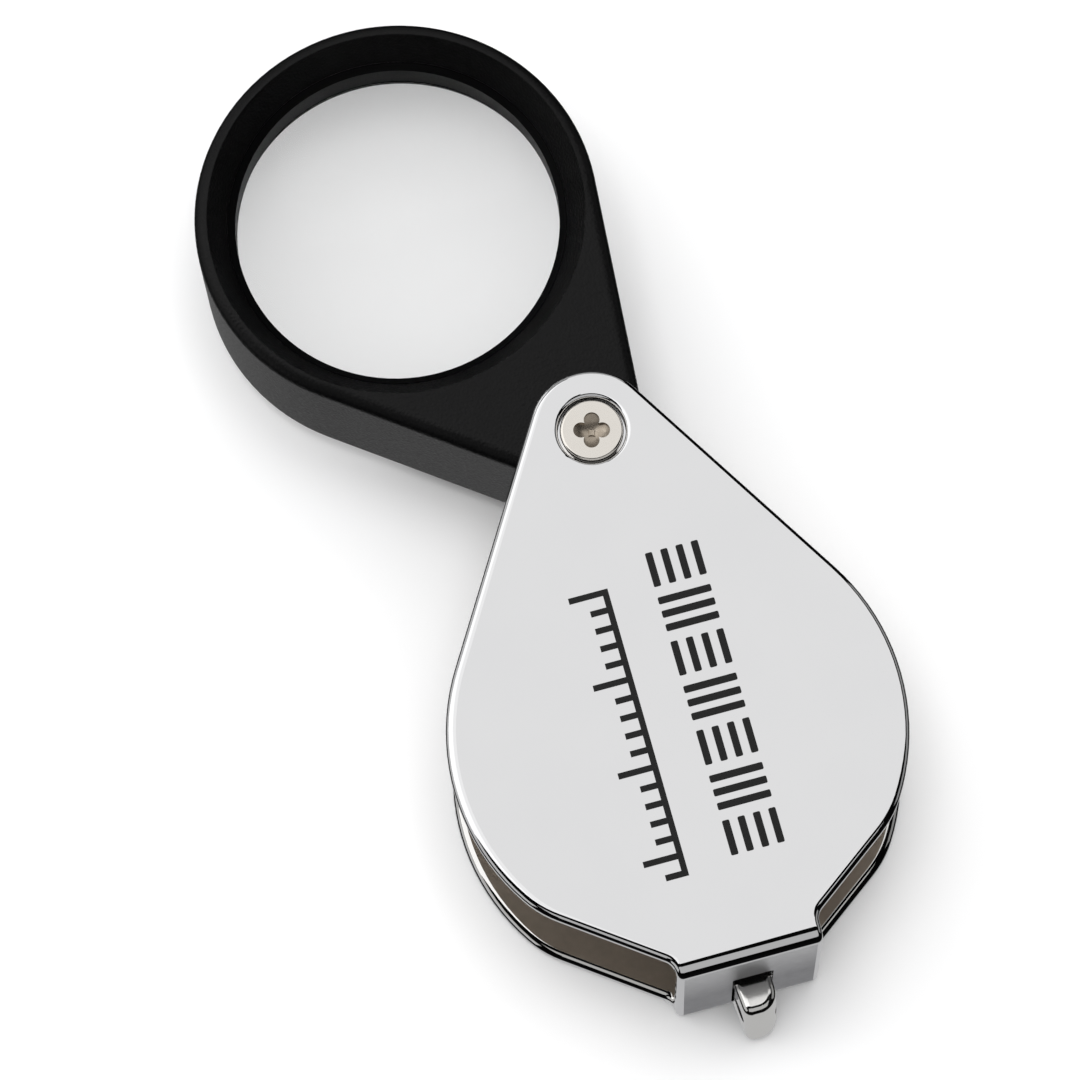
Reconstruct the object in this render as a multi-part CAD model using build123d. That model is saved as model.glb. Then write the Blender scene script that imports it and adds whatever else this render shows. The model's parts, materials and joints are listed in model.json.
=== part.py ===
"""Folding pocket loupe: a bent-sheet metal case with a lens housing that swings out on a screw pivot.

Millimetres, +Z up. The origin is the centre of the case's round lobe, on the underside that the
loupe rests on. The pivot stands at +Y, and the end strap with its lanyard lug at -Y. The lens
housing is modelled swung out of the case, turned open_angle away from straight ahead.
"""

import os
from math import asin, cos, radians, sin, sqrt, tan

from build123d import *

# Lens cell: a conical mouth in each face, then a straight bore for the glass and its rings.
aperture_radius = 9.0
ring_wall = 0.42
mouth_flare = 1.03
mouth_depth = 1.65
ring_chamfer = 0.28
lens_edge = 0.6
lens_curvature = 25.0
spacer_thickness = 0.3
seat_clearance = 0.02
cell_radius = aperture_radius + ring_wall
mouth_radius = cell_radius + mouth_flare

# Pivot: a sleeve nut from below, a screw from above, and a bush that turns on the sleeve.
shank_radius = 0.8
shank_length = 5.0
shank_tip = 0.2
thread_clearance = 0.02
sleeve_wall = 0.43
running_clearance = 0.05
bush_wall = 0.6
press_clearance = 0.01
hole_clearance = 0.05
head_overhang = 0.49
head_height = 0.5
head_rounding = 0.17
recess_gap = 0.12
recess_lip = 0.24
web = 0.4
washer_margin = 0.85
spring_sheet = 0.14
axial_play = 0.02
sleeve_radius = shank_radius + thread_clearance + sleeve_wall
bush_radius = sleeve_radius + running_clearance + bush_wall
washer_radius = bush_radius + washer_margin
head_radius = sleeve_radius + head_overhang
recess_radius = head_radius + recess_gap

# Drive recess in the screw head: four round lobes, dished towards the middle.
drive_reach = 1.0
drive_lobe_radius = 0.43
drive_edge_depth = 0.22
drive_centre_depth = 0.6
drive_turn = -15.4

# Driver slot in the sleeve nut's head.
nut_slot_width = 0.5
nut_slot_depth = 0.28

# Lens housing: a drop-shaped moulding between the plates.
housing_height = 9.0
lens_offset = 16.85
housing_rim = 0.72
nose_wall = 1.15
housing_rounding = 0.7
open_angle = 24.5
side_gap = 0.3
housing_radius = mouth_radius + housing_rim
housing_nose_radius = bush_radius + nose_wall

# Lanyard lug: a tab through a slot in the strap, held by a flange behind it.
lug_shift = 0.58
lug_width = 2.1
lug_taper = 0.28
lug_drop = 0.2
lug_top_reach = 1.73
lug_foot_reach = 2.35
lug_bottom = 0.35
lug_top_rounding = 0.42
lug_foot_rounding = 0.5
lug_small_corner = 0.5
lug_large_corner = 1.1
lug_root_lift = 0.15
flange_thickness = 0.75
flange_overlap = 0.7
flange_lift = 0.3
eye_radius = 0.7
eye_gap = 0.2
eye_height = 2.9
slot_side_gap = 0.09
slot_headroom = 1.3
slot_corner = 0.25

# Case: two drop-shaped plates joined by an end strap, all one bent sheet.
sheet = 1.0
case_overhang = 1.23
nose_overhang = 0.35
closed_offset = 0.45
swing_clearance = 0.61
shoulder_angle = 39.0
shoulder_rounding = 6.0
flank_angle = 36.3
strap_width = 8.04
strap_shift = 0.41
waist_rounding = 0.9
bend_outer = 0.8
bend_inner = 0.25
rim_rounding = 0.35
inner_rounding = 0.45
lobe_radius = housing_radius + case_overhang
nose_radius = housing_nose_radius + nose_overhang
pivot_offset = lens_offset + closed_offset
flange_reach = housing_radius - closed_offset + swing_clearance + flange_thickness
strap_reach = flange_reach + seat_clearance + sheet

# Heights and places worked out from the sizes above.
case_height = housing_height + 2 * (side_gap + sheet)
mid_height = case_height / 2
housing_low = sheet + side_gap
housing_high = housing_low + housing_height
upper_seat = case_height - sheet + web
head_low = upper_seat + seat_clearance
head_high = head_low + head_height
lug_top = mid_height - lug_drop
strap_slot_width = lug_width + 2 * slot_side_gap
strap_slot_top = lug_top + slot_headroom
pivot_place = Pos(0, pivot_offset, 0)
lens_place = pivot_place * Rot(0, 0, open_angle) * Pos(0, lens_offset, 0)
margin = 1.0
tiny = 0.01


def write(name, shape):
    """Write one sub-part to its own STEP file."""
    export_step(shape, "parts/" + name + ".step")


def block(low, high):
    """A box from its lowest to its highest corner."""
    size = [top - bottom for bottom, top in zip(low, high)]
    return Pos(*low) * Box(*size, align=(Align.MIN, Align.MIN, Align.MIN))


def rod(radius, low, high):
    """A cylinder about Z from one height to another."""
    return Pos(0, 0, low) * Cylinder(radius, high - low, align=(Align.CENTER, Align.CENTER, Align.MIN))


def tube(outer, inner, low, high):
    """A ring about Z from one height to another."""
    return rod(outer, low, high) - rod(inner, low - margin, high + margin)


def turned(*corners):
    """A solid of revolution about Z, from its section's corners as (radius, height)."""
    section = Polyline(*[(radius, 0, height) for radius, height in corners], close=True)
    return revolve(make_face(section), Axis.Z)


def turned_over(shape):
    """The same solid on the other face of the loupe."""
    return mirror(shape, Plane.XY.offset(mid_height))


def drop(large, small, offset):
    """A drop-shaped face: a large circle at the origin and a small one at +Y, joined by tangents."""
    lean = asin((large - small) / offset)
    low_right = (large * cos(lean), large * sin(lean))
    high_right = (small * cos(lean), offset + small * sin(lean))
    high_left = (-high_right[0], high_right[1])
    low_left = (-low_right[0], low_right[1])
    side = Line(low_right, high_right)
    tip = ThreePointArc(high_right, (0, offset + small), high_left)
    other_side = Line(high_left, low_left)
    lobe = ThreePointArc(low_left, (0, -large), low_right)
    return make_face([side, tip, other_side, lobe])


def corner_at(face, x, y):
    """The corner of a flat face nearest to a point."""
    return face.vertices().sort_by_distance((x, y))[0]


def case_plan():
    """The case from above: a drop whose lobe is cut by two flanks that run in to the strap."""
    shoulder_x = lobe_radius * cos(radians(shoulder_angle))
    shoulder_y = -lobe_radius * sin(radians(shoulder_angle))
    outline = []
    roundings = []
    for side in (1, -1):
        strap_x = strap_shift + side * strap_width / 2
        run_in = shoulder_x - side * strap_x
        waist_y = shoulder_y - run_in * tan(radians(flank_angle))
        corners = [(strap_x, -strap_reach), (strap_x, waist_y), (side * shoulder_x, shoulder_y)]
        outline += corners[::side]
        roundings += [(corners[1], waist_rounding), (corners[2], shoulder_rounding)]
    tail = make_face(Polyline(*outline, close=True))
    height = pivot_offset + nose_radius - shoulder_y
    kept = Pos(0, shoulder_y + height / 2) * Rectangle(2 * lobe_radius + margin, height)
    plan = (drop(lobe_radius, nose_radius, pivot_offset) & kept) + tail
    for place, rounding in roundings:
        plan = fillet(corner_at(plan, *place), rounding)
    return plan


def side_rectangle(start, low, high, rounding):
    """A rectangle in the side view, from its rounded end at -Y to well past the nose."""
    length = pivot_offset + nose_radius + margin - start
    face = Pos(start + length / 2, (low + high) / 2) * Rectangle(length, high - low)
    face = fillet(face.vertices().group_by(Axis.X)[0], rounding)
    return Plane.YZ * face


def across(face, half_width):
    """A side-view face extruded both ways along X."""
    return extrude(face, half_width, both=True)


def strap_slot():
    """The slot through the strap, rounded at its corners."""
    height = strap_slot_top - sheet
    face = RectangleRounded(strap_slot_width, height, slot_corner)
    place = (lug_shift, -strap_reach - margin, sheet + height / 2)
    plane = Plane(place, x_dir=(1, 0, 0), z_dir=(0, 1, 0))
    return extrude(plane * face, sheet + 2 * margin)


def case_shell():
    """Both plates and the strap, all one bent sheet, eased along its outer and inner edges."""
    width = lobe_radius + margin
    blank = extrude(case_plan(), case_height)
    blank &= across(side_rectangle(-strap_reach, 0, case_height, bend_outer), width)
    seams = [e for e in blank.edges().filter_by(Axis.Z) if e.center().Y > tiny - strap_reach]
    rims = [e for e in blank.edges().filter_by(Axis.X, reverse=True) if e not in seams]
    blank = fillet(rims, rim_rounding)
    hollow = side_rectangle(sheet - strap_reach, sheet, case_height - sheet, bend_inner)
    shell = blank - across(hollow, width)
    inner_rims = [e for e in shell.edges().filter_by(Axis.X, reverse=True)
                  if (e @ 0.5).Y > sheet - strap_reach - tiny
                  and abs((e @ 0.5).Z - mid_height) < mid_height - sheet + tiny]
    return fillet(inner_rims, inner_rounding)


def case_cover():
    """The bent sheet with the pivot's recesses and holes, and the lug's slot."""
    recesses = rod(recess_radius, upper_seat, case_height + margin)
    recesses += turned_over(recesses)
    holes = rod(shank_radius + hole_clearance, mid_height, case_height + margin)
    holes += rod(sleeve_radius + hole_clearance, -margin, mid_height)
    cover = case_shell() - pivot_place * (recesses + holes) - strap_slot()
    lips = [e for e in cover.edges().filter_by(GeomType.CIRCLE)
            if abs(e.radius - recess_radius) < tiny
            and abs(e.center().Z - mid_height) > mid_height - tiny]
    return fillet(lips, recess_lip)


def lug_tab(face_y):
    """The part of the lug outside the strap: a slanted nose, one corner small and one large."""
    half = lug_width / 2
    tip_y = face_y - lug_foot_reach - margin
    plan = make_face(Polyline((-half, face_y), (lug_taper - half, tip_y),
                              (half, tip_y), (half, face_y), close=True))
    profile = make_face(Polyline((face_y, lug_bottom),
                                 (face_y - lug_foot_reach, lug_bottom),
                                 (face_y - lug_top_reach, lug_top), (face_y, lug_top), close=True))
    profile = fillet(corner_at(profile, face_y - lug_foot_reach, lug_bottom), lug_foot_rounding)
    tab = extrude(plan, case_height) & across(Plane.YZ * profile, lug_width)
    outer_edges = [e for e in tab.edges() if e.center().Y < face_y - lug_top_reach / 2]
    uprights = [e for e in outer_edges if e.length > lug_top / 2]
    for edge, rounding in zip(ShapeList(uprights).sort_by(Axis.X), (lug_small_corner, lug_large_corner)):
        tab = fillet(tab.edges().sort_by_distance(edge.center())[0], rounding)
    upper = tab.faces().sort_by(Axis.Z)[-1]
    top_edges = [e for e in upper.edges() if e.center().Y < face_y - seat_clearance]
    return fillet(top_edges, lug_top_rounding)


def lanyard_lug():
    """A tab with a cord eye, its root in the strap's slot and a flange behind the strap."""
    face_y = -strap_reach - seat_clearance
    inner_y = sheet - strap_reach + seat_clearance
    half = lug_width / 2
    half_flange = strap_slot_width / 2 + flange_overlap
    root = block((-half, face_y, sheet + lug_root_lift), (half, inner_y, lug_top))
    flange = block((-half_flange, inner_y, sheet + flange_lift),
                   (half_flange, inner_y + flange_thickness, strap_slot_top + flange_overlap))
    eye_y = -strap_reach - eye_gap - eye_radius
    eye = Pos(0, eye_y, eye_height) * Rot(0, 90, 0) * Cylinder(eye_radius, lug_width + margin)
    return Pos(lug_shift, 0, 0) * (lug_tab(face_y) + root + flange - eye)


def drive_recess():
    """The screw head's drive: four round lobes whose floor is one shallow dish."""
    reach = drive_reach - drive_lobe_radius
    lobes = rod(drive_lobe_radius, head_high - head_height, head_high + margin)
    for quarter in range(4):
        lobe = rod(drive_lobe_radius, head_high - head_height - margin, head_high + margin)
        lobes += Rot(0, 0, 90 * quarter) * Pos(0, reach, 0) * lobe
    rise = drive_centre_depth - drive_edge_depth
    dish_radius = (drive_reach**2 + rise**2) / (2 * rise)
    dish = Pos(0, 0, head_high - drive_centre_depth + dish_radius) * Sphere(dish_radius)
    return Rot(0, 0, drive_turn) * (lobes & dish)


def pivot_screw():
    """A flat-headed screw that threads down into the sleeve nut."""
    head = rod(head_radius, head_low, head_high)
    head = fillet(head.edges().group_by(Axis.Z)[-1], head_rounding)
    shank = rod(shank_radius, head_low - shank_length, head_low)
    shank = chamfer(shank.edges().group_by(Axis.Z)[0], shank_tip)
    return pivot_place * (head + shank - drive_recess())


def pivot_sleeve():
    """The sleeve nut: a slotted head in the underside, and the barrel that the housing turns on."""
    head = turned_over(rod(head_radius, head_low, head_high))
    head = fillet(head.edges().group_by(Axis.Z)[0], head_rounding)
    barrel_top = case_height - sheet - seat_clearance
    barrel = rod(sleeve_radius, case_height - head_low, barrel_top)
    thread = rod(shank_radius + thread_clearance, head_low - shank_length - margin, barrel_top + margin)
    slot_roof = case_height - head_high + nut_slot_depth
    slot = block((-head_radius - margin, -nut_slot_width / 2, -margin),
                 (head_radius + margin, nut_slot_width / 2, slot_roof))
    return pivot_place * (head + barrel - thread - slot)


def pivot_bush():
    """The metal bush pressed into the housing, turning on the sleeve."""
    bore = sleeve_radius + running_clearance
    return pivot_place * tube(bush_radius, bore, housing_low, housing_high)


def friction_washer():
    """The flat washer between the upper plate and the housing."""
    bore = sleeve_radius + hole_clearance
    return pivot_place * tube(washer_radius, bore, housing_high + axial_play, case_height - sheet)


def spring_washer():
    """The dished spring washer between the lower plate and the housing, shown pressed down."""
    bore = sleeve_radius + hole_clearance
    rise = side_gap - axial_play - spring_sheet
    washer = turned((washer_radius, sheet), (washer_radius, sheet + spring_sheet),
                    (bore, sheet + rise + spring_sheet), (bore, sheet + rise))
    return pivot_place * washer


def cell_mouth():
    """The conical mouth above the lens cell."""
    slope = (mouth_radius - cell_radius) / mouth_depth
    return turned((0, housing_high + margin), (mouth_radius + slope * margin, housing_high + margin),
                  (cell_radius, housing_high - mouth_depth), (0, housing_high - mouth_depth))


def lens_housing():
    """The moulded housing: a drop with the lens cell through its lobe and the bush in its nose."""
    plan = Rot(0, 0, 180) * drop(housing_radius, housing_nose_radius, lens_offset)
    body = Pos(0, 0, housing_low) * extrude(plan, housing_height)
    faces = body.faces().sort_by(Axis.Z)
    body = fillet(faces[0].edges() + faces[-1].edges(), housing_rounding)
    mouth = cell_mouth()
    body -= rod(cell_radius, housing_low - margin, housing_high + margin) + mouth + turned_over(mouth)
    bush_seat = rod(bush_radius + press_clearance, housing_low - margin, housing_high + margin)
    body -= Pos(0, -lens_offset, 0) * bush_seat
    return lens_place * body


def lens():
    """The upper plano-convex lens, flat side down on the spacer."""
    rim = cell_radius - 2 * seat_clearance
    flat = mid_height + spacer_thickness / 2
    edge = flat + lens_edge
    sag = lens_curvature - sqrt(lens_curvature**2 - rim**2)
    half_rim = rim / 2
    part_sag = sqrt(lens_curvature**2 - half_rim**2) - sqrt(lens_curvature**2 - rim**2)
    dome = ThreePointArc((rim, 0, edge), (half_rim, 0, edge + part_sag), (0, 0, edge + sag))
    sides = Polyline((0, 0, edge + sag), (0, 0, flat), (rim, 0, flat), (rim, 0, edge))
    return revolve(make_face(dome.edges() + sides.edges()), Axis.Z)


def lens_spacer():
    """The thin ring that parts the two lenses at their rims."""
    gap = spacer_thickness / 2 - seat_clearance
    return tube(cell_radius - 2 * seat_clearance, aperture_radius, mid_height - gap, mid_height + gap)


def retaining_ring():
    """The ring that holds the upper lens down, its top bevelled to carry on the mouth's cone."""
    outer = cell_radius - seat_clearance
    rim = cell_radius - 2 * seat_clearance
    low = mid_height + spacer_thickness / 2 + lens_edge + seat_clearance
    low += sqrt(lens_curvature**2 - aperture_radius**2) - sqrt(lens_curvature**2 - rim**2)
    high = housing_high - mouth_depth
    inner_high = high - ring_chamfer
    return turned((aperture_radius, low), (outer, low), (outer, high), (aperture_radius, inner_high))


def build():
    """Every sub-part by name."""
    upper_lens = lens()
    upper_ring = retaining_ring()
    return {
        "case_cover": case_cover(),
        "lanyard_lug": lanyard_lug(),
        "pivot_screw": pivot_screw(),
        "pivot_sleeve": pivot_sleeve(),
        "friction_washer": friction_washer(),
        "spring_washer": spring_washer(),
        "pivot_bush": pivot_bush(),
        "lens_housing": lens_housing(),
        "upper_lens": lens_place * upper_lens,
        "lower_lens": lens_place * turned_over(upper_lens),
        "lens_spacer": lens_place * lens_spacer(),
        "upper_retaining_ring": lens_place * upper_ring,
        "lower_retaining_ring": lens_place * turned_over(upper_ring),
    }


os.makedirs("parts", exist_ok=True)
for node, solid in build().items():
    write(node, solid)
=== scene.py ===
"""Looks for the folding pocket loupe: finishes, printed marks, studio and camera."""
import json
import math

import bmesh
import bpy
from mathutils import Matrix, Vector


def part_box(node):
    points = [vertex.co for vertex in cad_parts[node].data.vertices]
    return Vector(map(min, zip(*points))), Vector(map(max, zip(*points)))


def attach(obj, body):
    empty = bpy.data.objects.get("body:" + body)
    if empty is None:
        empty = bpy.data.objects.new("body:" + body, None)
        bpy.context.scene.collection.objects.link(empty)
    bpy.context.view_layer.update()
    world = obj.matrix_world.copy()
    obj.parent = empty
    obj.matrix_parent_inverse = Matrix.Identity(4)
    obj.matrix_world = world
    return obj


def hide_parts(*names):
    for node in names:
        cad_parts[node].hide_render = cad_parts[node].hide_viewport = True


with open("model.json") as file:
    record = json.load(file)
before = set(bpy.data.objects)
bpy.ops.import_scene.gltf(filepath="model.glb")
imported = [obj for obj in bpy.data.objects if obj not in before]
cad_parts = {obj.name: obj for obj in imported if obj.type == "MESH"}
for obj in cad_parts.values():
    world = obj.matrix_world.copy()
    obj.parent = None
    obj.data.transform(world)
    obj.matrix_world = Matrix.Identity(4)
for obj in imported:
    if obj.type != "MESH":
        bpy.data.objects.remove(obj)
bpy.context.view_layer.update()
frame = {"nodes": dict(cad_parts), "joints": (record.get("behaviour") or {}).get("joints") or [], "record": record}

MM = 0.001
# The Mix node's colour sockets, which share their names with its other kinds of value.
MIX_FACTOR, MIX_FIRST, MIX_SECOND, MIX_RESULT = 0, 6, 7, 2

nodes = frame["nodes"]
swing = frame["joints"][0]
pivot = Vector((swing["pos_m"][0], swing["pos_m"][1], 0.0))
cover_low, cover_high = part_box("case_cover")
case_top = cover_high.z


# ---------------------------------------------------------------- material helpers
def new_material(name):
    """An empty node material and its Principled shader."""
    material = bpy.data.materials.new(name)
    material.use_nodes = True
    tree = material.node_tree
    return material, tree, tree.nodes["Principled BSDF"]


def add(tree, kind, **settings):
    """A node with its properties and input values set by name."""
    node = tree.nodes.new(kind)
    for key, value in settings.items():
        if key in node.inputs:
            node.inputs[key].default_value = value
        else:
            setattr(node, key, value)
    return node


def texture_space(tree):
    """The piece's own coordinates, in metres, so that a pattern rides with it."""
    return add(tree, "ShaderNodeTexCoord").outputs["Object"]


def noise(tree, space, size, detail=2.0, roughness=0.5):
    """Noise whose features are about size metres across."""
    node = add(tree, "ShaderNodeTexNoise", Detail=detail, Roughness=roughness)
    node.inputs["Scale"].default_value = 1 / size
    tree.links.new(space, node.inputs["Vector"])
    return node.outputs["Fac"]


def remap(tree, value, low, high, source_low=0.3, source_high=0.7):
    """A value stretched from its usual range to low..high."""
    node = add(tree, "ShaderNodeMapRange")
    node.inputs["From Min"].default_value = source_low
    node.inputs["From Max"].default_value = source_high
    node.inputs["To Min"].default_value = low
    node.inputs["To Max"].default_value = high
    tree.links.new(value, node.inputs["Value"])
    return node.outputs["Result"]


def bump(tree, shader, height, depth):
    """Bump of depth metres on a shader."""
    node = add(tree, "ShaderNodeBump", Strength=1.0, Distance=depth)
    tree.links.new(height, node.inputs["Height"])
    tree.links.new(node.outputs["Normal"], shader.inputs["Normal"])


def colour_mix(tree, factor, first, second):
    """Two colours mixed by a factor."""
    node = add(tree, "ShaderNodeMix", data_type="RGBA")
    node.inputs[MIX_FIRST].default_value = (*first, 1)
    node.inputs[MIX_SECOND].default_value = (*second, 1)
    tree.links.new(factor, node.inputs[MIX_FACTOR])
    return node.outputs[MIX_RESULT]


# ---------------------------------------------------------------- finishes
def metal(name, light, dark, smooth, rough, blotch=4 * MM):
    """Plated metal: a slightly cloudy colour, and gloss that varies in finer patches."""
    material, tree, shader = new_material(name)
    space = texture_space(tree)
    cloud = noise(tree, space, blotch, detail=3)
    tree.links.new(colour_mix(tree, cloud, light, dark), shader.inputs["Base Color"])
    grain = noise(tree, space, blotch / 12, detail=4, roughness=0.6)
    tree.links.new(remap(tree, grain, smooth, rough), shader.inputs["Roughness"])
    shader.inputs["Metallic"].default_value = 1.0
    return material


def moulding(name, light, dark, smooth, rough, grain, depth, specular):
    """Black moulded plastic with a leather-like grain of small rounded cells."""
    material, tree, shader = new_material(name)
    space = texture_space(tree)
    cloud = noise(tree, space, 3 * MM, detail=2)
    tree.links.new(colour_mix(tree, cloud, light, dark), shader.inputs["Base Color"])
    ripple = noise(tree, space, grain, detail=3, roughness=0.6)
    cells = add(tree, "ShaderNodeTexVoronoi", feature="SMOOTH_F1", Smoothness=0.6)
    cells.inputs["Scale"].default_value = 1 / grain
    tree.links.new(space, cells.inputs["Vector"])
    height = add(tree, "ShaderNodeMath", operation="ADD")
    tree.links.new(ripple, height.inputs[0])
    tree.links.new(cells.outputs["Distance"], height.inputs[1])
    tree.links.new(remap(tree, ripple, smooth, rough), shader.inputs["Roughness"])
    bump(tree, shader, height.outputs["Value"], depth)
    shader.inputs["Specular IOR Level"].default_value = specular
    return material


def plastic(name, light, dark, smooth, rough, grain, depth, specular):
    """Smooth plastic or lacquer with a fine grain."""
    material, tree, shader = new_material(name)
    space = texture_space(tree)
    cloud = noise(tree, space, 3 * MM, detail=2)
    tree.links.new(colour_mix(tree, cloud, light, dark), shader.inputs["Base Color"])
    pebble = noise(tree, space, grain, detail=3, roughness=0.55)
    tree.links.new(remap(tree, pebble, smooth, rough), shader.inputs["Roughness"])
    bump(tree, shader, pebble, depth)
    shader.inputs["Specular IOR Level"].default_value = specular
    return material


def satin_metal(name, light, dark, smooth, rough, metallic):
    """Unpolished metal: cloudy colour and a soft, part-diffuse reflection; the dark colours given to it paint
    shade on the case's inner walls, its recess and the screw's drive.
    """
    material, tree, shader = new_material(name)
    space = texture_space(tree)
    cloud = noise(tree, space, 0.5 * MM, detail=5, roughness=0.7)
    tree.links.new(colour_mix(tree, cloud, light, dark), shader.inputs["Base Color"])
    tree.links.new(remap(tree, cloud, smooth, rough), shader.inputs["Roughness"])
    shader.inputs["Metallic"].default_value = metallic
    return material


def painted_shade_strap(name, low, high, smooth, rough):
    """Satin plating whose colour is painted darker towards the bottom and brighter towards the top of the case: a
    painted reflection of the shaded floor in front of the strap.
    """
    material, tree, shader = new_material(name)
    space = texture_space(tree)
    parts = add(tree, "ShaderNodeSeparateXYZ")
    tree.links.new(space, parts.inputs[0])
    # Painted shade: the colour darkens from the top of the case down the strap.
    level = remap(tree, parts.outputs["Z"], 0.0, 1.0, 0.4 * case_top, case_top)
    tree.links.new(colour_mix(tree, level, low, high), shader.inputs["Base Color"])
    grain = noise(tree, space, 0.4 * MM, detail=4, roughness=0.6)
    tree.links.new(remap(tree, grain, smooth, rough), shader.inputs["Roughness"])
    shader.inputs["Metallic"].default_value = 1.0
    return material


def glass(name):
    """Clear coated glass with the faintest haze of handling."""
    material, tree, shader = new_material(name)
    space = texture_space(tree)
    haze = noise(tree, space, 5 * MM, detail=3)
    tree.links.new(remap(tree, haze, 0.0, 0.015), shader.inputs["Roughness"])
    tint = colour_mix(tree, haze, (0.985, 0.986, 0.985), (0.975, 0.977, 0.977))
    tree.links.new(tint, shader.inputs["Base Color"])
    shader.inputs["Transmission Weight"].default_value = 1.0
    shader.inputs["IOR"].default_value = 1.52
    shader.inputs["Specular Tint"].default_value = (0.03, 0.03, 0.03, 1)
    return material


finishes = {
    "case_chrome": metal("chrome_plate", (0.90, 0.90, 0.905), (0.87, 0.87, 0.88),
                         smooth=0.012, rough=0.03),
    "lug_chrome": metal("lug_plate", (0.93, 0.92, 0.90), (0.90, 0.89, 0.87),
                        smooth=0.08, rough=0.14, blotch=1.5 * MM),
    "screw_nickel": metal("nickel_plate", (0.90, 0.86, 0.80), (0.85, 0.81, 0.75),
                          smooth=0.07, rough=0.13, blotch=1 * MM),
    "spring_steel": metal("spring_steel", (0.52, 0.52, 0.54), (0.45, 0.45, 0.47),
                          smooth=0.2, rough=0.3, blotch=1 * MM),
    "bush_brass": metal("brass", (0.80, 0.62, 0.30), (0.72, 0.55, 0.26),
                        smooth=0.2, rough=0.3, blotch=1 * MM),
    "washer_nylon": plastic("nylon", (0.78, 0.77, 0.73), (0.70, 0.69, 0.65), smooth=0.4, rough=0.5,
                            grain=0.3 * MM, depth=0.005 * MM, specular=0.5),
    "housing_black": moulding("black_moulding", (0.0018, 0.0018, 0.002), (0.001, 0.001, 0.0011),
                              smooth=0.33, rough=0.45,
                              grain=0.15 * MM, depth=0.018 * MM, specular=0.22),
    "ring_black": plastic("black_anodise", (0.0018, 0.0018, 0.002), (0.001, 0.001, 0.0011),
                          smooth=0.35, rough=0.45,
                          grain=0.08 * MM, depth=0.002 * MM, specular=0.04),
    "lens_glass": glass("lens_glass"),
}
# Painted shade: the case's inner walls, under the upper plate and behind the strap, coloured dark brown for the
# shade inside the case.
inner_wall_painted_shade = satin_metal("inner_wall_painted_shade", (0.30, 0.255, 0.21), (0.22, 0.185, 0.15),
                         smooth=0.35, rough=0.5, metallic=0.4)
inner_floor = satin_metal("inner_floor", (0.86, 0.85, 0.83), (0.80, 0.79, 0.77),
                          smooth=0.03, rough=0.06, metallic=1.0)
# The strap's face, its colour a painted shade gradient, dark low down and bright at the top.
strap_painted_shade = painted_shade_strap("strap_painted_shade", (0.41, 0.41, 0.43), (0.99, 0.99, 1.0),
                           smooth=0.34, rough=0.42)
# Painted shade: the walls of the recess round the screw, coloured nearly black for the shade and dark reflection
# in the recess.
recess_painted_shade = satin_metal("recess_painted_shade", (0.012, 0.010, 0.009), (0.006, 0.005, 0.004),
                        smooth=0.4, rough=0.5, metallic=0.3)
# Painted shade: the well of the screw's drive, darker than the nickel face.
drive_painted_shade = satin_metal("drive_painted_shade", (0.62, 0.55, 0.46), (0.24, 0.19, 0.14),
                         smooth=0.22, rough=0.34, metallic=0.9)
ink = plastic("printed_ink", (0.008, 0.008, 0.008), (0.005, 0.005, 0.005), smooth=0.4, rough=0.55,
              grain=0.1 * MM, depth=0.001 * MM, specular=0.3)

for part in frame["record"]["subparts"]:
    node = nodes[part["node"]]
    node.data.materials.clear()
    node.data.materials.append(finishes[part["material_slot"]])
for name in ("upper_lens", "lower_lens"):
    nodes[name].visible_shadow = False
    nodes[name].visible_diffuse = False


# ---------------------------------------------------------------- pieces
def finish_piece(piece, body, slot, *replaced):
    """The calls that every new piece needs."""
    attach(piece, body)
    if replaced:
        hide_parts(*replaced)


def rim_loops(faces):
    """The closed rims of a group of flat faces, each a list of points with the faces on its left."""
    inside = set(faces)
    after = {}
    for face in faces:
        for loop in face.loops:
            if not any(other in inside for other in loop.edge.link_faces if other is not face):
                after[loop.vert] = loop.link_loop_next.vert
    rims = []
    while after:
        vertex, follower = after.popitem()
        rim = [vertex.co.copy()]
        while follower in after:
            rim.append(follower.co.copy())
            follower = after.pop(follower)
        rims.append(rim)
    return rims


def inward_at(rim, i):
    """The inward direction at a rim's point, and the mitre that keeps an inset even."""
    before = (rim[i] - rim[i - 1]).xy.normalized()
    ahead = (rim[(i + 1) % len(rim)] - rim[i]).xy.normalized()
    left, right = Vector((-before.y, before.x)), Vector((-ahead.y, ahead.x))
    return (left + right).normalized(), (left + right) / (1 + left.dot(right))


def room_at(rim, mitres):
    """How far each point of a rim can be inset before a short edge beside it closes up."""
    room = [math.inf] * len(rim)
    for i in range(len(rim)):
        j = (i + 1) % len(rim)
        edge = (rim[j] - rim[i]).xy
        closing = (mitres[i] - mitres[j]).dot(edge.normalized())
        if closing > 0:
            limit = edge_share * edge.length / closing
            room[i] = min(room[i], limit)
            room[j] = min(room[j], limit)
    return room


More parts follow.
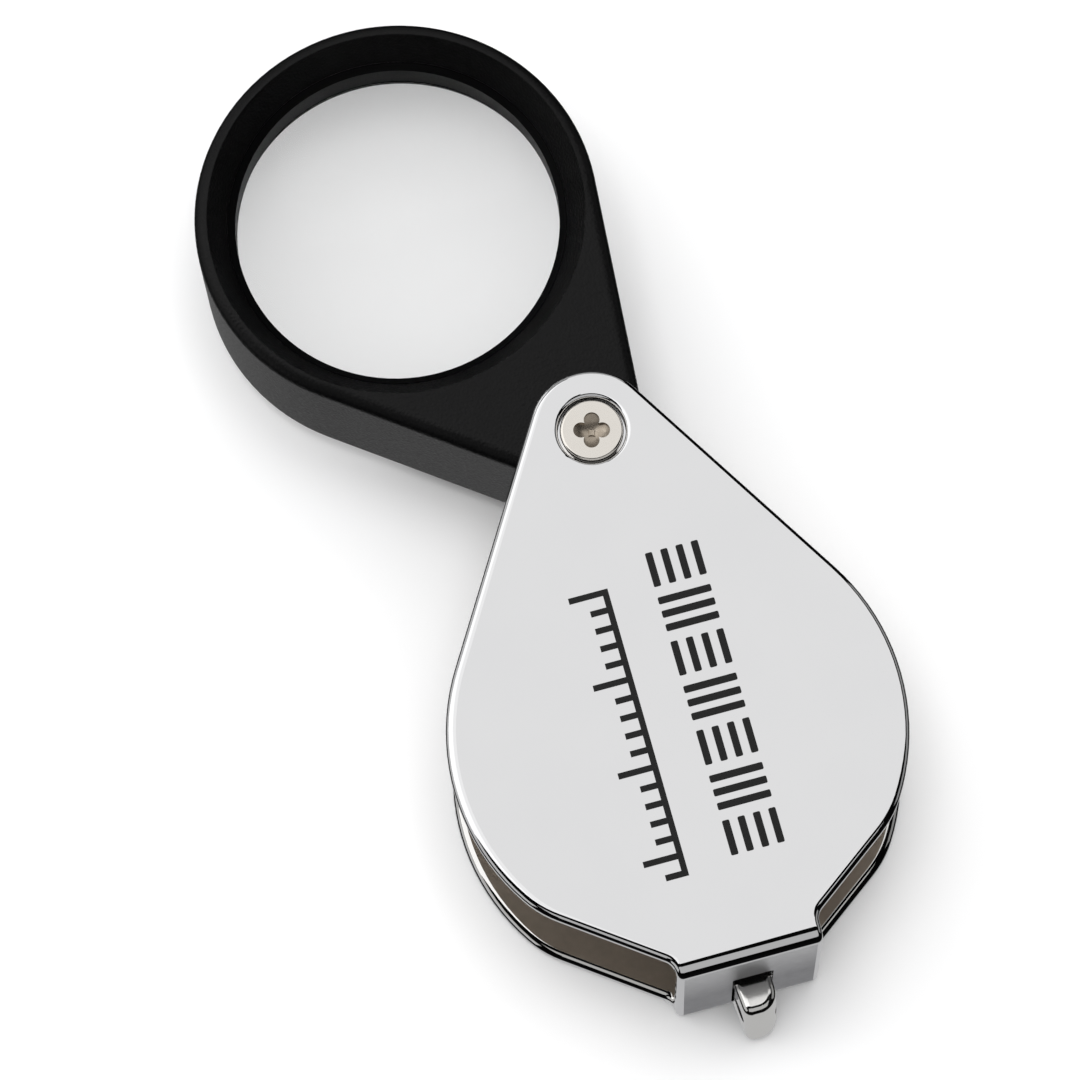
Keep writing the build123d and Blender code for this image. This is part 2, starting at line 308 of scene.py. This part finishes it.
def crown_plate(mesh):
    """Ease the shading of the upper plate's flat down towards its rims, as polishing does."""
    smooth = [corner.vector.copy() for corner in mesh.corner_normals]
    builder = bmesh.new()
    builder.from_mesh(mesh)
    kept = builder.loops.layers.float_vector.new("kept")
    smooth_normals = iter(smooth)
    for face in builder.faces:
        for loop in face.loops:
            loop[kept] = next(smooth_normals)
    highest = max(vertex.co.z for vertex in builder.verts)
    flat = [face for face in builder.faces
            if face.normal.z > square_on and face.calc_center_median().z > highest - flat_band]
    rims = rim_loops(flat)
    bmesh.ops.delete(builder, geom=flat, context="FACES")
    rims.sort(key=lambda rim: (rim[0].xy - pivot.xy).length > recess_mouth)
    inner_edges = []
    for rim, widths in zip(rims, (recess_crown, plate_crown)):
        sides = [inward_at(rim, i) for i in range(len(rim))]
        room = room_at(rim, [mitre for _, mitre in sides])
        steps = [min(1, space / widths[-1]) * mitre.to_3d()
                 for space, (_, mitre) in zip(room, sides)]
        rings = [[builder.verts.new(point + width * step) for point, step in zip(rim, steps)]
                 for width in widths]
        for k in range(len(rings) - 1):
            for i in range(len(rim)):
                j = (i + 1) % len(rim)
                corners = ((i, k), (j, k), (j, k + 1), (i, k + 1))
                face = builder.faces.new([rings[level][at] for at, level in corners])
                for loop, (at, level) in zip(face.loops, corners):
                    away = -sides[at][0] * math.tan(crown_slope * crown_shares[level])
                    loop[kept] = Vector((away.x, away.y, 1)).normalized()
        last = rings[-1]
        inner_edges += [builder.edges.get((last[i - 1], last[i])) for i in range(len(last))]
    fill = bmesh.ops.triangle_fill(builder, use_beauty=True, edges=inner_edges, normal=(0, 0, 1))
    for face in fill["geom"]:
        if isinstance(face, bmesh.types.BMFace):
            for loop in face.loops:
                loop[kept] = Vector((0, 0, 1))
    builder.to_mesh(mesh)
    builder.free()
    normals = [Vector(item.vector) for item in mesh.attributes["kept"].data]
    mesh.attributes.remove(mesh.attributes["kept"])
    mesh.normals_split_custom_set(normals)


def copy_of(node, name, *more):
    """A new object with a copy of a node's mesh and further materials."""
    mesh = nodes[node].data.copy()
    for material in more:
        mesh.materials.append(material)
    piece = bpy.data.objects.new(name, mesh)
    bpy.context.scene.collection.objects.link(piece)
    return piece, mesh


def case_sheet():
    """The case's bent sheet again, bright outside, its inner floor, inner walls, recess and strap told apart; the
    walls and the recess carry painted shade, and the strap a painted shade gradient.
    """
    piece, mesh = copy_of("case_cover", "case_sheet", inner_wall_painted_shade, inner_floor, strap_painted_shade, recess_painted_shade)
    # The wall and recess slots carry painted shade, the strap slot a painted shade gradient.
    shaded_wall_slot, floor_slot, painted_shade_strap_slot, painted_shade_recess_slot = 1, 2, 3, 4
    inside_low = cover_low.z + sheet - reach
    inside_high = cover_high.z - sheet + reach
    crown_plate(mesh)
    for face in mesh.polygons:
        centre = face.center
        inside = inside_low < centre.z < inside_high and centre.y > strap_inside - reach
        from_pivot = (centre.xy - pivot.xy).length
        faces_up, faces_down = face.normal.z > turned, face.normal.z < -turned
        strap_back = face.normal.y > turned and centre.y < strap_inside + reach
        if from_pivot < recess_radius and not inside and face.normal.z < upright:
            face.material_index = painted_shade_recess_slot
        elif face.normal.y < -square_on and centre.y < cover_low.y + reach:
            face.material_index = painted_shade_strap_slot
        elif inside and faces_up and centre.z < inside_low + 2 * reach:
            face.material_index = floor_slot
        elif inside and (faces_down or strap_back):
            face.material_index = shaded_wall_slot
    finish_piece(piece, "case", "case_chrome", "case_cover")


def screw_head():
    """The screw again, the well of its drive duller than its polished face and coloured darker and browner as
    painted shade.
    """
    piece, mesh = copy_of("pivot_screw", "screw_head", drive_painted_shade)
    shaded_well_slot = 1
    face_height = max(vertex.co.z for vertex in mesh.vertices)
    for face in mesh.polygons:
        depth = face_height - face.center.z
        from_pivot = (face.center.xy - pivot.xy).length
        if polished_depth < depth < drive_depth and from_pivot < drive_radius:
            face.material_index = shaded_well_slot
    finish_piece(piece, "case", "screw_nickel", "pivot_screw")


def slab(builder, outline, bottom, top):
    """A flat slab between two heights, its outline given counter-clockwise."""
    lower = [builder.verts.new((x, y, bottom)) for x, y in outline]
    upper = [builder.verts.new((x, y, top)) for x, y in outline]
    builder.faces.new(upper)
    builder.faces.new(lower[::-1])
    for i in range(len(outline)):
        j = (i + 1) % len(outline)
        builder.faces.new((lower[i], lower[j], upper[j], upper[i]))


def bar(builder, low, high, bottom, top, steps=4):
    """A flat printed bar with rounded corners, added to a mesh being built."""
    outline = []
    middle = (low + high) / 2
    corners = ((high.x, high.y, 0), (low.x, high.y, 90), (low.x, low.y, 180), (high.x, low.y, 270))
    for x, y, start in corners:
        cx = x - math.copysign(bar_rounding, x - middle.x)
        cy = y - math.copysign(bar_rounding, y - middle.y)
        for step in range(steps + 1):
            angle = math.radians(start + 90 * step / steps)
            outline.append((cx + bar_rounding * math.cos(angle), cy + bar_rounding * math.sin(angle)))
    slab(builder, outline, bottom, top)


def printed_marks():
    """Two rows of plain printed marks on the upper plate: bar groups, and a millimetre scale."""
    builder = bmesh.new()
    bottom = case_top - ink_sink
    top = case_top + ink_height

    def print_bar(x0, y0, x1, y1):
        low = Vector((min(x0, x1), min(y0, y1)))
        high = Vector((max(x0, x1), max(y0, y1)))
        bar(builder, low, high, bottom, top)

    for group in range(group_count):
        y = group_start - group * group_pitch
        if group % 2:
            for line in range(bars_across):
                line_y = y - line * (group_width - bar_width) / (bars_across - 1)
                print_bar(group_low, line_y, group_high, line_y - bar_width)
        else:
            for line in range(bars_along):
                line_x = group_low + line * (group_high - group_low - bar_width) / (bars_along - 1)
                print_bar(line_x, y, line_x + bar_width, y - group_width)
    comb = [(scale_high, scale_start + tick_width / 2)]
    for tick in range(tick_count):
        y = scale_start - tick * tick_pitch
        end = scale_high - (tick_long if tick % tick_group == 0 else tick_short)
        comb += [(end, y + tick_width / 2), (end, y - tick_width / 2)]
        if tick < tick_count - 1:
            comb += [(scale_high - tick_width, y - tick_width / 2)]
            comb += [(scale_high - tick_width, y - tick_pitch + tick_width / 2)]
    comb.append((scale_high, y - tick_width / 2))
    slab(builder, comb, bottom, top)
    mesh = bpy.data.meshes.new("printed_marks")
    builder.to_mesh(mesh)
    builder.free()
    mesh.materials.append(ink)
    piece = bpy.data.objects.new("printed_marks", mesh)
    bpy.context.scene.collection.objects.link(piece)
    finish_piece(piece, "case", "housing_black")


# Sizes that tell the faces of the case's sheet and of the screw apart.
sheet = 1.0 * MM
reach = 0.13 * MM
strap_inside = cover_low.y + sheet
recess_radius = 2.0 * MM
recess_mouth = 2.6 * MM
drive_radius = 1.5 * MM
drive_depth = 0.75 * MM
polished_depth = 0.013 * MM
flat_band = 0.005 * MM
# How far a face's normal is along an axis: nearly all of it, turned that way, or a wall.
square_on = 0.9999
turned = 0.5
upright = 0.4

# The eased shading at the upper plate's rims: its slope at the rim, the share of that slope left
# on each ring, each ring's distance from its rim, and the share of a short edge it may close.
crown_slope = math.radians(4.5)
crown_shares = (1.0, 0.55, 0.2, 0.0)
plate_crown = (0.0, 0.11 * MM, 0.24 * MM, 0.38 * MM)
recess_crown = (0.0, 0.06 * MM, 0.14 * MM, 0.22 * MM)
edge_share = 0.9

# The marks printed on the upper plate.
ink_sink = 0.005 * MM
ink_height = 0.015 * MM
bar_width = 0.40 * MM
bar_rounding = 0.08 * MM
bars_across = 3
bars_along = 4
group_count = 7
group_start = 9.8 * MM
group_pitch = 2.55 * MM
group_width = 1.95 * MM
group_low = 0.9 * MM
group_high = 3.85 * MM
tick_count = 17
tick_group = 5
tick_pitch = 1.0 * MM
tick_width = 0.34 * MM
tick_long = 2.2 * MM
tick_short = 1.25 * MM
scale_start = 8.3 * MM
scale_high = -1.55 * MM

case_sheet()
screw_head()
printed_marks()


# ---------------------------------------------------------------- studio
def plain_floor():
    """A large pale floor under the loupe, at the height that it rests on."""
    bpy.ops.mesh.primitive_plane_add(size=floor_size, location=(0, 0, cover_low.z))
    floor = bpy.context.active_object
    floor.name = "floor"
    material, tree, shader = new_material("floor_paper")
    cloud = noise(tree, texture_space(tree), 20 * MM)
    tone = colour_mix(tree, cloud, (0.90, 0.90, 0.90), (0.885, 0.885, 0.89))
    tree.links.new(tone, shader.inputs["Base Color"])
    shader.inputs["Roughness"].default_value = 0.9
    shader.inputs["Specular IOR Level"].default_value = 0.0
    floor.data.materials.append(material)
    floor.visible_glossy = False


def rectangle_light(name, width, height, radiance):
    """A rectangular light. radiance is how bright its face is."""
    data = bpy.data.lights.new(name, "AREA")
    data.shape = "RECTANGLE"
    data.size = width
    data.size_y = height
    data.energy = radiance * math.pi * width * height
    light = bpy.data.objects.new(name, data)
    bpy.context.scene.collection.objects.link(light)
    return light


def area_light(name, azimuth, elevation, distance, width, height, radiance, glossy=True):
    """A soft rectangular light that looks at the loupe."""
    light = rectangle_light(name, width, height, radiance)
    a, e = math.radians(azimuth), math.radians(elevation)
    direction = Vector((-math.sin(a) * math.cos(e), math.cos(a) * math.cos(e), math.sin(e)))
    light.location = aim + distance * direction
    light.rotation_euler = (-direction).to_track_quat("-Z", "Y").to_euler()
    light.visible_glossy = glossy


def ceiling_panel(name, left, right, front, back, radiance):
    """A level soft panel overhead, its sides given as angles from straight up at the loupe."""
    x0, x1, y0, y1 = (ceiling * math.tan(math.radians(angle)) for angle in (left, right, front, back))
    light = rectangle_light(name, x1 - x0, y1 - y0, radiance)
    light.location = aim + Vector(((x0 + x1) / 2, (y0 + y1) / 2, ceiling))


def surround():
    """The room: pale to the eye, grey to diffuse surfaces, and in reflections grey steeply below
    the horizon and dark everywhere else."""
    scene_world = bpy.data.worlds.new("surround")
    bpy.context.scene.world = scene_world
    scene_world.use_nodes = True
    tree = scene_world.node_tree
    background = tree.nodes["Background"]
    direction = add(tree, "ShaderNodeTexCoord")
    parts = add(tree, "ShaderNodeSeparateXYZ")
    tree.links.new(direction.outputs["Generated"], parts.inputs[0])
    ramp = add(tree, "ShaderNodeValToRGB")
    height = remap(tree, parts.outputs["Z"], 0.0, 1.0, -1.0, 1.0)
    tree.links.new(height, ramp.inputs["Fac"])
    stops = ramp.color_ramp.elements
    stops[0].position, stops[0].color = 0.0, (0.48, 0.48, 0.49, 1)
    stops[1].position, stops[1].color = 1.0, (0.002, 0.002, 0.002, 1)
    for position, level in reflected_room:
        stop = stops.new(position)
        stop.color = (level, level, level, 1)
    rays = add(tree, "ShaderNodeLightPath")
    colour = ramp.outputs["Color"]
    for kind, level in (("Is Camera Ray", room_seen), ("Is Diffuse Ray", room_light)):
        mix = add(tree, "ShaderNodeMix", data_type="RGBA")
        mix.inputs[MIX_SECOND].default_value = (level, level, level, 1)
        tree.links.new(rays.outputs[kind], mix.inputs[MIX_FACTOR])
        tree.links.new(colour, mix.inputs[MIX_FIRST])
        colour = mix.outputs[MIX_RESULT]
    tree.links.new(colour, background.inputs["Color"])


def camera(azimuth, elevation, roll, distance, lens_mm):
    """A long lens that looks down on the loupe, a little to the side of its length."""
    data = bpy.data.cameras.new("camera")
    data.lens = lens_mm
    data.sensor_width = 36.0
    data.clip_start = 0.01
    data.clip_end = 20.0
    cam = bpy.data.objects.new("camera", data)
    bpy.context.scene.collection.objects.link(cam)
    a, e = math.radians(azimuth), math.radians(elevation)
    forward = Vector((-math.sin(a) * math.cos(e), math.cos(a) * math.cos(e), -math.sin(e)))
    turn = forward.to_track_quat("-Z", "Y").to_matrix() @ Matrix.Rotation(math.radians(roll), 3, "Z")
    cam.matrix_world = Matrix.Translation(aim - distance * forward) @ turn.to_4x4()
    bpy.context.scene.camera = cam


floor_size = 6.0
# How high the ceiling's panels are above the loupe.
ceiling = 0.5
# The room's brightness: to the camera, to diffuse surfaces, and in reflections by height, from 0
# straight down through 0.5 at the horizon to 1 straight up.
room_seen = 0.9
room_light = 0.50
reflected_room = ((0.02, 0.48), (0.06, 0.48), (0.10, 0.46), (0.14, 0.004), (0.5, 0.0015))
# The camera and the lights look at a point on the plane of the case's upper face.
aim = Vector((-4.33 * MM, 12.05 * MM, case_top))
camera(azimuth=-11.27, elevation=74.42, roll=-4.11, distance=0.3003, lens_mm=185.6)
plain_floor()
surround()
ceiling_panel("overhead", left=-1.5, right=45, front=0, back=60, radiance=0.82)
ceiling_panel("left_edge", left=-6, right=-1.5, front=0, back=50, radiance=0.94)
ceiling_panel("left_panel", left=-62, right=-6, front=0, back=50, radiance=1.15)
area_light("front_card", azimuth=180, elevation=42, distance=0.6,
           width=0.9, height=0.56, radiance=0.46)
area_light("left_card", azimuth=72, elevation=8, distance=0.7,
           width=1.7, height=0.60, radiance=0.50)
area_light("right_card", azimuth=-85, elevation=8, distance=0.8,
           width=0.9, height=0.5, radiance=0.25)
area_light("back_card", azimuth=0, elevation=14, distance=0.9,
           width=1.4, height=0.5, radiance=0.35)
area_light("fill_top", azimuth=0, elevation=86, distance=0.9,
           width=0.5, height=0.5, radiance=4.4, glossy=False)

bpy.context.scene.view_settings.view_transform = "Standard"
